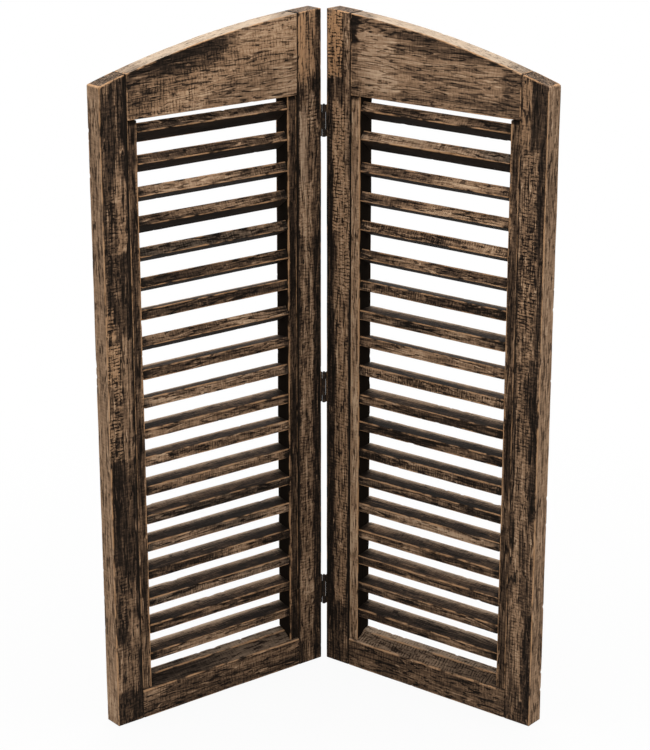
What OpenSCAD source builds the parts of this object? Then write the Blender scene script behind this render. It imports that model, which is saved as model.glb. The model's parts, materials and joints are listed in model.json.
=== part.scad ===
// A pair of arched louvre shutters, hinged together along their inner edges
// and standing on the floor half open. Millimetres, +Z up, front towards -Y.
// Each leaf is drawn in its own frame: X runs from the hinge pin outwards,
// Y from the front face to the back, Z up from the floor.

/* [Leaves] */
// Width of one leaf across its stiles
leaf_w = 373; // [330:1:420]
// Height of the arch at the hinge line
peak_h = 1000; // [900:5:1200]
// Fall of the arch from the hinge line to the outer edge of a leaf
arch_drop = 69; // [40:1:110]
// Bow of the arch above the straight line between its two ends on a leaf
arch_bow = 12; // [4:0.5:17]
// Thickness of stiles and rails
frame_t = 30; // [26:0.5:40]
// Turn of each leaf from the flat position, towards the viewer
leaf_turn = 38.5; // [10:0.5:60]

/* [Stiles and rails] */
// Width of the outer stile
outer_stile_w = 44; // [36:0.5:60]
// Width of the inner stile
inner_stile_w = 43; // [36:0.5:60]
// Height of the top rail from its underside to the peak of the arch
top_rail_h = 119; // [115:1:160]
// Height of the bottom rail at its front face
sill_front_h = 43; // [40:0.5:80]
// Rise of the sill's front bevel
sill_bevel_rise = 13; // [4:0.5:20]
// Depth of the sill's front bevel
sill_bevel_depth = 18; // [8:0.5:22]
// Further rise of the sill behind the bevel
sill_back_rise = 4; // [0:0.5:10]
// Eased arris on stiles, rails and cheeks
arris = 1.2; // [0.5:0.1:3]

/* [Tenons] */
// Thickness of the tenons on the rails
tenon_t = 10; // [6:0.5:14]
// Length of the tenons on the rails
tenon_l = 26; // [15:0.5:30]
// Height of the top rail's tenon
top_tenon_h = 36; // [20:1:40]
// Shoulder below each tenon, and above the bottom rail's one
tenon_shoulder = 8; // [4:0.5:10]
// Play around a tenon in its mortise
tenon_play = 0.1; // [0.05:0.05:0.3]

/* [Slats] */
// Number of slats in a leaf
slat_count = 19; // [12:1:21]
// Thickness of a slat
slat_t = 15; // [10:0.5:20]
// Depth of a slat from its front edge to its back edge
slat_depth = 29; // [22:0.5:30]
// Eased arris along a slat
slat_arris = 2; // [0.5:0.1:4]
// Room between the swing of the highest slat and the top rail
slat_top_room = 5; // [1:0.5:12]
// Room between the swing of the lowest slat and the sill
slat_sill_room = 18; // [1:0.5:24]
// Play between a slat's end and the cheek
slat_end_play = 0.4; // [0.3:0.1:1.5]
// Diameter of the round pins on a slat's ends
slat_pin_d = 7; // [4:0.5:9]
// Length of the round pins on a slat's ends
slat_pin_l = 9; // [4:0.5:13]
// Radial play of a slat pin in its hole
slat_pin_play = 0.08; // [0.04:0.01:0.1]
// Depth of a pin hole past the pin's end
slat_hole_spare = 0.6; // [0.2:0.1:1]

/* [Cheeks] */
// Width of the cheek strips that carry the slats
cheek_w = 16; // [14.5:0.5:24]
// Set-back of a cheek from the front of the stiles
cheek_recess = 2; // [0:0.25:5]
// Shadow gap between a cheek and the top rail
cheek_top_gap = 1; // [0.3:0.1:3]

/* [Hinges] */
// Height of the lowest hinge's middle
hinge_low_z = 115; // [80:1:250]
// Height of the middle hinge's middle
hinge_mid_z = 440; // [350:1:600]
// Distance of the highest hinge's middle below the peak of the arch
hinge_high_drop = 160; // [120:1:300]
// Length of a hinge
hinge_l = 46; // [40:0.5:70]
// Length of a hinge's middle knuckle
mid_knuckle_l = 25; // [14:0.5:30]
// Gap between neighbouring knuckles
knuckle_play = 0.3; // [0.2:0.05:0.6]
// Diameter of the knuckles
knuckle_d = 5; // [4.6:0.1:7]
// Diameter of the hinge pin
hinge_pin_d = 2.6; // [2:0.1:3.4]
// Radial play of the pin in the turning knuckles
hinge_pin_play = 0.06; // [0.03:0.01:0.1]
// Radial play of the pin in the knuckle that holds it
hinge_pin_grip = 0.02; // [0.01:0.01:0.03]
// Diameter of the pin's round head
hinge_head_d = 4; // [3.6:0.1:5]
// Height of the pin's round head
hinge_head_h = 1.2; // [0.6:0.1:2]
// Thickness of a hinge plate
plate_t = 1.4; // [1:0.1:1.6]
// Width of a hinge plate across the stile's edge
plate_w = 21; // [14:0.5:25]
// Gap between the two leaves when they lie flat
leaf_gap = 3.5; // [3.4:0.1:5]
// Distance of the hinge pin in front of the leaves
pin_out = 3.8; // [3.7:0.1:7]

/* [Hinge screws] */
// Diameter of a screw's shank
screw_d = 3; // [2:0.1:4]
// Diameter of a screw's countersunk head
screw_head_d = 5.2; // [4.5:0.1:7]
// Depth of a screw's head
screw_head_h = 1.1; // [0.8:0.05:1.3]
// Length of a screw's shank in the stile
screw_l = 16; // [8:0.5:25]
// Distance between the two screws of a plate
screw_spacing = 30; // [16:0.5:34]
// Radial play of a screw in its hole
screw_play = 0.05; // [0.03:0.01:0.1]

/* [Hidden] */
// Tilt of each slat as it was left, from the top down, front edge up
left_tilts = [42, 36, 28, 37, 28, 27, 13, 31, 7, 11, -3, 2, -4, -9, -6, -7, -9, -5, -9];
right_tilts = [35, 40, 25, 25, 26, 27, 9, -1, 11, 4, -5, -1, -1, -5, -5, -7, -6, -7, -12];

// Stations across a leaf, from the hinge pin outwards
inner_edge = leaf_gap / 2;
inner_joint = inner_edge + inner_stile_w;
outer_edge = inner_edge + leaf_w;
outer_joint = outer_edge - outer_stile_w;
inner_cheek_face = inner_joint + cheek_w;
outer_cheek_face = outer_joint - cheek_w;

// Heights that follow the peak of the arch
top_rail_z = peak_h - top_rail_h;
hinge_high_z = peak_h - hinge_high_drop;

// The arch of a leaf is one arc from the hinge line to the outer edge
arch_chord = sqrt(outer_edge * outer_edge + arch_drop * arch_drop);
arch_r = arch_chord * arch_chord / (8 * arch_bow) + arch_bow / 2;
arch_x = outer_edge / 2 - (arch_r - arch_bow) * arch_drop / arch_chord;
arch_z = peak_h - arch_drop / 2 - (arch_r - arch_bow) * outer_edge / arch_chord;

// Heights of the sill at its break and at its back
sill_break_h = sill_front_h + sill_bevel_rise;
sill_back_h = sill_break_h + sill_back_rise;

// Slats are spread evenly, with room for the end ones to turn
slat_swing_r = sqrt(slat_t * slat_t + slat_depth * slat_depth) / 2;
slat_top_z = top_rail_z - slat_swing_r - slat_top_room;
slat_low_z = sill_back_h + slat_swing_r + slat_sill_room;
slat_pitch = (slat_top_z - slat_low_z) / (slat_count - 1);
slat_axis_y = cheek_recess + (frame_t - cheek_recess) / 2;
slat_start = inner_cheek_face + slat_end_play;
slat_end = outer_cheek_face - slat_end_play;
slat_hole_r = slat_pin_d / 2 + slat_pin_play;
slat_hole_l = slat_pin_l - slat_end_play + slat_hole_spare;

// Tenons sit in the middle of the frame's thickness
tenon_y = (frame_t - tenon_t) / 2;
top_tenon_z = top_rail_z + tenon_shoulder;
low_tenon_h = sill_front_h - 2 * tenon_shoulder;

// Each outer knuckle takes half of what the middle one leaves
outer_knuckle_l = (hinge_l - mid_knuckle_l) / 2 - knuckle_play;
hinge_heights = [hinge_low_z, hinge_mid_z, hinge_high_z];
screw_head_x = inner_edge - plate_t;

// The box of the standing pair is centred on the origin
front_y = pin_out * cos(leaf_turn) - outer_edge * sin(leaf_turn);
back_y = (frame_t + pin_out) * cos(leaf_turn) - inner_edge * sin(leaf_turn);
hinge_y = -(front_y + back_y) / 2;

// Overshoot of cutting solids
over = 1;
$fn = 48;
arch_fn = 240;

stile_color = "#4a3a2e";
rail_color = "#6b5442";
cheek_color = "#2a2420";
slat_color = "#40352d";
metal_color = "#26231f";

function two_digits(i) = str(i < 10 ? "0" : "", i);
function slat_name(side, i) = str(side, "_slat_", two_digits(i));
function slat_z(i) = slat_top_z - (i - 1) * slat_pitch;
function tilt_of(tilts, i) = tilts[(i - 1) % len(tilts)];
// Height of the sill's upper surface at a depth from the front face
function sill_z(y) = y < sill_bevel_depth
    ? sill_front_h + sill_bevel_rise * y / sill_bevel_depth
    : sill_break_h + sill_back_rise * (y - sill_bevel_depth) / (frame_t - sill_bevel_depth);

FRAME_PIECES = ["outer_stile", "inner_stile", "top_rail", "bottom_rail", "outer_cheek", "inner_cheek"];
HINGE_PLACES = ["low", "middle", "high"];
SIDES = ["left", "right"];

// Puts a piece of the right leaf, or its mirror image, in its place
module on_leaf(side) {
    translate([0, hinge_y, 0])
        if (side == "left") mirror([1, 0, 0]) turned_leaf() children();
        else turned_leaf() children();
}

module turned_leaf() {
    rotate([0, 0, -leaf_turn]) translate([0, pin_out, 0]) children();
}

// Carries a profile drawn in depth and height along the leaf's width
module across(from, to) {
    translate([from, 0, 0]) rotate([90, 0, 90]) linear_extrude(height = to - from) children();
}

// Rectangle with its four corners cut off
module eased_rect(w, h, cut) {
    polygon([
        [cut, 0], [w - cut, 0], [w, cut], [w, h - cut],
        [w - cut, h], [cut, h], [0, h - cut], [0, cut]
    ]);
}

// Everything below the arch
module under_arch() {
    translate([arch_x, -over, arch_z])
        rotate([-90, 0, 0])
            cylinder(r = arch_r, h = frame_t + 2 * over, $fn = arch_fn);
}

// A rail's tenon, or with play around it the mortise that takes it
module tenon(from, to, z, h, play = 0) {
    translate([from, tenon_y - play, z - play]) cube([to - from, tenon_t + 2 * play, h + 2 * play]);
}

// Mortises for both rails, reaching into a stile from a joint
module mortises(from, to) {
    tenon(from, to, top_tenon_z, top_tenon_h, tenon_play);
    tenon(from, to, tenon_shoulder, low_tenon_h, tenon_play);
}

module stile_board(from, w) {
    intersection() {
        translate([from, 0, 0]) linear_extrude(height = peak_h + over) eased_rect(w, frame_t, arris);
        under_arch();
    }
}

module outer_stile(side) {
    color(stile_color) on_leaf(side) difference() {
        stile_board(outer_joint, outer_stile_w);
        mortises(outer_joint - over, outer_joint + tenon_l + tenon_play);
    }
}

module inner_stile(side) {
    color(stile_color) on_leaf(side) difference() {
        stile_board(inner_edge, inner_stile_w);
        mortises(inner_joint - tenon_l - tenon_play, inner_joint + over);
        each_hinge_screw() screw_hole();
    }
}

module top_rail(side) {
    color(rail_color) on_leaf(side) {
        intersection() {
            across(inner_joint, outer_joint)
                translate([0, top_rail_z]) eased_rect(frame_t, peak_h - top_rail_z + over + arris, arris);
            under_arch();
        }
        tenon(inner_joint - tenon_l, inner_joint + over, top_tenon_z, top_tenon_h);
        tenon(outer_joint - over, outer_joint + tenon_l, top_tenon_z, top_tenon_h);
    }
}

module bottom_rail(side) {
    color(rail_color) on_leaf(side) {
        across(inner_joint, outer_joint) polygon([
            [arris, 0], [frame_t - arris, 0], [frame_t, arris], [frame_t, sill_back_h],
            [sill_bevel_depth, sill_break_h], [0, sill_front_h], [0, arris]
        ]);
        tenon(inner_joint - tenon_l, inner_joint + over, tenon_shoulder, low_tenon_h);
        tenon(outer_joint - over, outer_joint + tenon_l, tenon_shoulder, low_tenon_h);
    }
}

// Strip whose foot is scribed to the sill
module cheek_strip(from) {
    across(from, from + cheek_w) polygon([
        [cheek_recess, sill_z(cheek_recess)],
        [sill_bevel_depth, sill_break_h],
        [frame_t, sill_back_h],
        [frame_t, top_rail_z - cheek_top_gap],
        [cheek_recess, top_rail_z - cheek_top_gap]
    ]);
}

// Row of holes for the slats' pins
module slat_holes(from, to) {
    for (i = [1:slat_count])
        translate([from, slat_axis_y, slat_z(i)]) rotate([0, 90, 0]) cylinder(r = slat_hole_r, h = to - from);
}

module outer_cheek(side) {
    color(cheek_color) on_leaf(side) difference() {
        cheek_strip(outer_cheek_face);
        slat_holes(outer_cheek_face - over, outer_cheek_face + slat_hole_l);
    }
}

module inner_cheek(side) {
    color(cheek_color) on_leaf(side) difference() {
        cheek_strip(inner_joint);
        slat_holes(inner_cheek_face - slat_hole_l, inner_cheek_face + over);
    }
}

// One slat with its round end pins, tipped about the line of the pins
module slat(side, i, tilts) {
    color(slat_color) on_leaf(side)
        translate([0, slat_axis_y, slat_z(i)]) rotate([-tilt_of(tilts, i), 0, 0]) {
            across(slat_start, slat_end)
                translate([-slat_depth / 2, -slat_t / 2]) eased_rect(slat_depth, slat_t, slat_arris);
            translate([slat_start - slat_pin_l, 0, 0]) rotate([0, 90, 0])
                cylinder(d = slat_pin_d, h = slat_pin_l + over);
            translate([slat_end - over, 0, 0]) rotate([0, 90, 0])
                cylinder(d = slat_pin_d, h = slat_pin_l + over);
        }
}

// Knuckle around the hinge pin, with the tab that ties it to its plate
module knuckle(z, l) {
    translate([0, -pin_out, z]) cylinder(d = knuckle_d, h = l);
    translate([inner_edge - plate_t, -pin_out, z]) cube([plate_t, pin_out + over, l]);
}

module hinge_plate(side, z) {
    low = z - hinge_l / 2;
    color(metal_color) on_leaf(side) difference() {
        union() {
            translate([inner_edge - plate_t, 0, low]) cube([plate_t, plate_w, hinge_l]);
            if (side == "left") knuckle(z - mid_knuckle_l / 2, mid_knuckle_l);
            else for (end = [low, low + hinge_l - outer_knuckle_l]) knuckle(end, outer_knuckle_l);
        }
        translate([0, -pin_out, low - over])
            cylinder(r = hinge_pin_d / 2 + (side == "left" ? hinge_pin_grip : hinge_pin_play), h = hinge_l + 2 * over);
        hinge_screw_places(z) screw_hole();
    }
}

module hinge_pins() {
    color(metal_color) translate([0, hinge_y, 0]) for (z = hinge_heights) {
        translate([0, 0, z - hinge_l / 2]) cylinder(d = hinge_pin_d, h = hinge_l + knuckle_play);
        translate([0, 0, z + hinge_l / 2 + knuckle_play])
            cylinder(d1 = hinge_head_d, d2 = hinge_pin_d, h = hinge_head_h);
    }
}

// Places of one plate's screws, with X pointing into the stile
module hinge_screw_places(z) {
    for (end = [-1, 1])
        translate([screw_head_x, plate_w / 2, z + end * screw_spacing / 2]) children();
}

module each_hinge_screw() {
    for (z = hinge_heights) hinge_screw_places(z) children();
}

// Countersunk screw along X, or with play around it the hole that takes it
module screw(play = 0) {
    rotate([0, 90, 0]) {
        cylinder(d1 = screw_head_d + 2 * play, d2 = screw_d + 2 * play, h = screw_head_h);
        cylinder(d = screw_d + 2 * play, h = plate_t + screw_l + play);
    }
}

module screw_hole() {
    screw(screw_play);
}

module hinge_screws(side) {
    color(metal_color) on_leaf(side) each_hinge_screw() screw();
}

for (side = SIDES) {
    outer_stile(side);
    inner_stile(side);
    top_rail(side);
    bottom_rail(side);
    outer_cheek(side);
    inner_cheek(side);
    hinge_screws(side);
    for (k = [0:len(HINGE_PLACES) - 1])
        hinge_plate(side, hinge_heights[k]);
    for (i = [1:slat_count])
        slat(side, i, side == "left" ? left_tilts : right_tilts);
}
hinge_pins();
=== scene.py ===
import json
import math

import bpy
import numpy as np
from bpy.props import FloatProperty, FloatVectorProperty, PointerProperty
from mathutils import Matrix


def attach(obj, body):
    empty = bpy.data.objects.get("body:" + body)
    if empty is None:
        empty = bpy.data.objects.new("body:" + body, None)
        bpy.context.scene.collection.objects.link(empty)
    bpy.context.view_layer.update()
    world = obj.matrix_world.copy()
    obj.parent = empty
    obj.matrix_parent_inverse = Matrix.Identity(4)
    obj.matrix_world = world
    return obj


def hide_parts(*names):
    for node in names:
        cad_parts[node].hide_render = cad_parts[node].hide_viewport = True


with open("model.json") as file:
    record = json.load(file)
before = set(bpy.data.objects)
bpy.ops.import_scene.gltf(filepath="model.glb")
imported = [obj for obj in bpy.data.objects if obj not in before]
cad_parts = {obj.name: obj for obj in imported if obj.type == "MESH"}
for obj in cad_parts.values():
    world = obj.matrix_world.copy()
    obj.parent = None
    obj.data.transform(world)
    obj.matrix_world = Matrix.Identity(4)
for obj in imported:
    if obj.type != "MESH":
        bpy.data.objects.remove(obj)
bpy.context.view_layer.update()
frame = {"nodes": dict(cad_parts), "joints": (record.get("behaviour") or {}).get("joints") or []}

bl_info = {
    "name": "Arched Louvre Shutters",
    "version": (1, 0, 0),
    "blender": (4, 5, 0),
    "location": "View3D > Sidebar > Shutters",
    "description": "Dresses a hinged pair of arched louvre shutters in worn, dark stained wood",
    "category": "Object",
}

SIDES = ("left", "right")
SLAT_COUNT = sum(1 for name in frame["nodes"] if name.startswith("left_slat_"))
QUARTER_TURN = math.pi / 2
FULL_TURN = 2 * math.pi
# The sensor's longer side in millimetres, which the height of the picture fills
SENSOR = 36.0
WHITE = (1.0, 1.0, 1.0, 1.0)

# Spans of a rounded arris, of a rounded end, and the shares of the rings that close an end
ARRIS_SPANS = 5
END_SPANS = 4
CAP_SHARES = (0.86, 0.6, 0.3)
LOW_CAP, HIGH_CAP = -1, -2
# The largest share of a side that the rounding of a corner may take
CORNER_SHARE = 0.45

# Sides: an upright board's count from the front by the outer side, others from the underside by the back
FRONT, OUTSIDE, INSIDE = 0, 1, 3
UNDER, UPPER, BEVEL = 0, 2, 3
# Spans of the mesh across each side
STILE_FLATS = (20, 12, 14, 12)
RAIL_FLATS = (12, 36, 12, 44)
SILL_FLATS = (12, 20, 8, 10, 16)
CHEEK_FLATS = (7, 10, 7, 10)
SLAT_FLATS = (9, 6, 9, 7)

# Seeds of the boards' wear: the first on the left leaf and on the right, and the step to the next board
SEEDS = {
    "stile": (7, 57, 100),
    "top_rail": (11, 61, 0),
    "sill": (31, 81, 0),
    "cheek": (303, 323, 40),
    "slat": (2000, 3000, 31),
}
# Added to a board's seed, so that each kind of wear and each further face draws noise of its own
UPPER_FACE, OTHER_FACES, CHIPS, CHIP_GROUPS = 1, 3, 5, 6
WAVES, RIDGES, PLACE = 11, 12, 21
WAVY_ENDS, WAVY_EDGES, RUBBING, SOILING = 31, 32, 33, 34

# Smooth noise: the side of its table of values, and its octaves
LATTICE = 64
OCTAVES = 3

# Arrises: lengths of their rounding, chips and groups of chips, its spread, the noise from which chips and
# groups come, and the places of the edges in the noise
ROUNDING_LENGTH, ROUNDING_SPREAD = 0.045, 0.55
CHIP_LENGTH, CHIP_FROM = 0.007, 0.58
GROUP_LENGTH, GROUP_FROM, GROUP_WIDTH = 0.06, 0.1, 0.5
EDGE_LANES, FIRST_LANE = 9.7, 0.5
# Size of a wave of hand planing and of a ridge of raised grain, along and round a board
WAVE_CELL = (0.07, 0.02)
RIDGE_CELL = (0.11, 0.0035)

# Patches: how far their ends and edges wander, the noise's size along and across, and the width of the fade.
# Rubbed blotches: their size, and the noise from which they come
END_WANDER, END_CELL, END_FADE = 0.012, (0.03, 0.007), 0.008
EDGE_WANDER, EDGE_CELL, EDGE_FADE = 0.003, (0.018, 0.02), 0.003
RUB_CELL, RUB_FROM, RUB_WIDTH = (0.08, 0.014), 0.1, 0.4


def srgb(red, green, blue):
    """A colour given in screen bytes, as the linear values that Blender keeps, by the sRGB curve."""
    share = np.array([red, green, blue]) / 255
    return tuple(np.where(share > 0.04045, ((share + 0.055) / 1.055) ** 2.4, share / 12.92))


def amount(name, default, description, **kind):
    """A number for the panel."""
    return FloatProperty(name=name, default=default, description=description, **kind)


def length(name, default, description):
    """A size in metres for the panel."""
    return amount(name, default, description, min=0, unit="LENGTH", precision=4)


def colour(name, default, description):
    """A colour for the panel, given in screen bytes."""
    return FloatVectorProperty(
        name=name, description=description, default=srgb(*default), min=0, max=1, size=3, subtype="COLOR"
    )


class ShutterSizes(bpy.types.PropertyGroup):
    """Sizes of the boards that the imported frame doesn't give by itself, and of their wear"""

    arch_drop: length("Arch Drop", 0.069, "Fall of the arch from the hinge line to a leaf's outer edge")
    arch_bow: length("Arch Bow", 0.012, "Bow of the arch above the straight line between its ends on a leaf")
    sill_front: length("Sill Front", 0.043, "Height of the bottom rail at its front face")
    sill_break: length("Sill Break", 0.056, "Height of the sill where its front bevel ends")
    sill_bevel: length("Sill Bevel", 0.018, "Depth of the sill's front bevel")
    slat_thick: length("Slat Thickness", 0.015, "Thickness of a slat")
    slat_deep: length("Slat Depth", 0.029, "Depth of a slat from its front edge to its back edge")
    slat_play: length("Slat Play", 0.0004, "Play between a slat's end and the cheek")
    step: length("Mesh Step", 0.0026, "Distance between the rings of a board")
    arris: length("Arris", 0.0014, "Usual rounding of a board's long edges")
    end_ease: length("End Rounding", 0.0012, "Rounding at a board's ends")
    chip: length("Chips", 0.0035, "Depth of the deepest chips along the edges")
    wave: length("Hand Planing", 0.00022, "Height of the slow waves on the faces")
    ridge: length("Raised Grain", 0.00011, "Height of the raised grain")


class ShutterColours(bpy.types.PropertyGroup):
    """Colours of the wood's finish and of the hinges"""

    pitch: colour("Pitch", (29, 24, 20), "Saw marks, pores and corners full of old stain")
    stain: colour("Dark Stain", (50, 40, 33), "The stain where it lies thick")
    brown: colour("Brown Stain", (88, 69, 54), "The stain where it is thin")
    tan: colour("Bare Wood", (148, 118, 92), "Wood that is sanded bare")
    pale: colour("Pale Wood", (196, 166, 136), "The palest streaks of the bare wood")
    worn: colour("Worn Edge", (180, 138, 100), "Edges rubbed through to warm wood")
    grey: colour("Weathered Wood", (190, 170, 148), "Weathered faces and the top of the arch")
    iron: colour("Hinge Iron", (33, 27, 23), "Blackened hinge plates, pins and screws")


class ShutterStage(bpy.types.PropertyGroup):
    """The camera, the lamps and the floor"""

    distance: length("Camera Distance", 3.085, "Level distance from the camera to the hinge pin")
    height: length("Camera Height", 1.472, "Height of the camera above the floor")
    aside: length("Camera Aside", 0.0016, "Offset of the camera to the right of the hinge pin")
    pitch: amount("Camera Pitch", math.radians(18.18), "Tilt of the camera below level", subtype="ANGLE")
    focal: amount("Focal Length", 2.929, "Focal length in picture heights")
    ambient: amount("Ambient", 0.3, "Strength of the light from all round")
    key: amount("Top Lamp", 60.0, "Power of the lamp overhead in watts")
    side: amount("Side Lamps", 15.0, "Power of each side lamp in watts")
    fill: amount("Front Lamp", 30.0, "Power of the front lamp in watts")
    rear: amount("Rear Lamp", 40.0, "Power of the lamp behind in watts")
    floor: colour("Floor", (205, 205, 203), "The plain pale floor")


# Number work for the boards


def soft(distance, width):
    """0 to 1 over a width centred on zero, by the smoothstep 3x^2 - 2x^3."""
    share = np.clip(distance / width + 0.5, 0, 1)
    return share * share * (3 - 2 * share)


def drift(x, y, seed):
    """Smooth noise from -1 to 1: a seeded table of values, blended between four neighbours by smoothsteps."""
    table = np.random.default_rng(seed).uniform(-1, 1, (LATTICE, LATTICE))
    x, y = np.broadcast_arrays(np.asarray(x, float), np.asarray(y, float))
    i, j = np.floor(x).astype(int), np.floor(y).astype(int)
    u, v = soft(x - i - 0.5, 1), soft(y - j - 0.5, 1)
    i0, i1, j0, j1 = i % LATTICE, (i + 1) % LATTICE, j % LATTICE, (j + 1) % LATTICE
    low = table[i0, j0] * (1 - u) + table[i1, j0] * u
    high = table[i0, j1] * (1 - u) + table[i1, j1] * u
    return low * (1 - v) + high * v


def rough(x, y, seed):
    """Octaves of drift, each twice as fine and half as strong as the last, over their summed strengths."""
    total = sum(drift(x * 2**k, y * 2**k, seed + k) / 2**k for k in range(OCTAVES))
    return total / sum(1 / 2**k for k in range(OCTAVES))


class Leaf:
    """One leaf's own frame: s runs outwards from the hinge pin, t back from the front face, z up."""

    def __init__(self, side):
        joints = {joint["name"]: joint for joint in frame["joints"]}
        axis = np.array(joints[f"{side}_slat_01_tilt"]["axis"])
        self.side, self.body = side, f"{side}_leaf"
        self.out = axis if (axis[0] < 0) == (side == "left") else -axis
        back = np.array([-self.out[1], self.out[0], 0])
        self.back = back if back[1] > 0 else -back
        self.pin = np.array(joints["leaf_fold"]["pos_m"]) * (1, 1, 0)
        # A box is measured from the front face, which is at zero until the first box gives its place
        self.front = 0.0
        self.front = self.box("outer_stile")[0][1]

    def box(self, piece):
        """Lowest and highest s, t and z of a CAD node of this leaf."""
        mesh = frame["nodes"][f"{self.side}_{piece}"].data
        points = np.empty(len(mesh.vertices) * 3, np.float32)
        mesh.vertices.foreach_get("co", points)
        points = points.reshape(-1, 3) - self.pin
        own = np.stack([points @ self.out, points @ self.back - self.front, points[:, 2]], 1)
        return own.min(0), own.max(0)

    def world(self, s, t, z):
        """The point s along the leaf, t behind its front face and z above the floor."""
        level = s[..., None] * self.out + (t + self.front)[..., None] * self.back
        return self.pin + level + z[..., None] * np.array([0, 0, 1])

    def seed(self, kind, number=0):
        """The seed of a board's wear, by its kind and its number on this leaf."""
        *first, step = SEEDS[kind]
        return first[SIDES.index(self.side)] + step * number

    def upright(self, l, a, b):
        """The point of an upright board, whose grain runs up and whose section lies in s and t."""
        return self.world(a, b, l)


def stations(span, step, ease):
    """Places along a board and the inset of its sides there. At each end a quarter circle of radius
    ease gives the place ease(1 - cos) and the inset ease(1 - sin); between them the step is even."""
    turn = np.linspace(0, QUARTER_TURN, END_SPANS + 1)[:-1]
    place, inset = ease * (1 - np.cos(turn)), ease * (1 - np.sin(turn))
    even = np.linspace(ease, span - ease, max(3, round((span - 2 * ease) / step)))
    along = np.concatenate([place, even, (span - place)[::-1]])
    return along, np.concatenate([inset, np.zeros(len(even)), inset[::-1]])


def shrunk(corners, inset):
    """Moves every side of a convex section inwards by inset: a corner moves along the sum of the inward
    normals of its two sides, divided by one plus their dot product."""
    ahead = np.roll(corners, -1, 1) - corners
    ahead = ahead / np.linalg.norm(ahead, axis=-1, keepdims=True)
    inward = np.stack([-ahead[..., 1], ahead[..., 0]], -1)
    before = np.roll(inward, 1, 1)
    meet = 1 + (inward * before).sum(-1, keepdims=True)
    return corners + inset[:, None, None] * (inward + before) / meet


def eased_ring(corners, cut, flats):
    """Ring of points round a section with rounded corners, at every station. A corner is the circular arc
    that leaves its sides at the distance cut: the conic through both ends with the corner as its middle
    control, weighted by the cosine of half the turn. Sides are straight. Returns the ring, each point's
    distance from the middle of the nearest arris, and the number of the side it lies on."""
    to_next = np.roll(corners, -1, 1) - corners
    side = np.linalg.norm(to_next, axis=-1, keepdims=True)
    onward = to_next / side
    backward = -np.roll(onward, 1, 1)
    cut = np.minimum(cut[..., None], CORNER_SHARE * np.minimum(side, np.roll(side, 1, 1)))
    leave, reach = corners + backward * cut, corners + onward * cut
    weight = np.sqrt((1 - (onward * backward).sum(-1)) / 2)[..., None, None]
    u = np.linspace(0, 1, ARRIS_SPANS + 1)[:, None]
    count = corners.shape[1]
    rings, gaps, faces = [], [], []
    for i in range(count):
        middle = 2 * u * (1 - u) * weight[:, i]
        arc = leave[:, i, None] * (1 - u) ** 2 + corners[:, i, None] * middle + reach[:, i, None] * u**2
        rings.append(arc / ((1 - u) ** 2 + middle + u**2))
        round_off = QUARTER_TURN / 2 * cut[:, i]
        gaps.append(round_off * np.abs(2 * u[:, 0] - 1))
        faces.append(np.where(u[:, 0] < 0.5, (i - 1) % count, i))
        v = np.linspace(0, 1, flats[i] + 1)[1:-1, None]
        after = leave[:, (i + 1) % count, None]
        rings.append(reach[:, i, None] * (1 - v) + after * v)
        span = np.linalg.norm(after - reach[:, i, None], axis=-1)
        gaps.append(round_off + span * np.minimum(v, 1 - v)[:, 0])
        faces.append(np.full(len(v), i))
    return np.concatenate(rings, 1), np.concatenate(gaps, 1), np.concatenate(faces)


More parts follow.
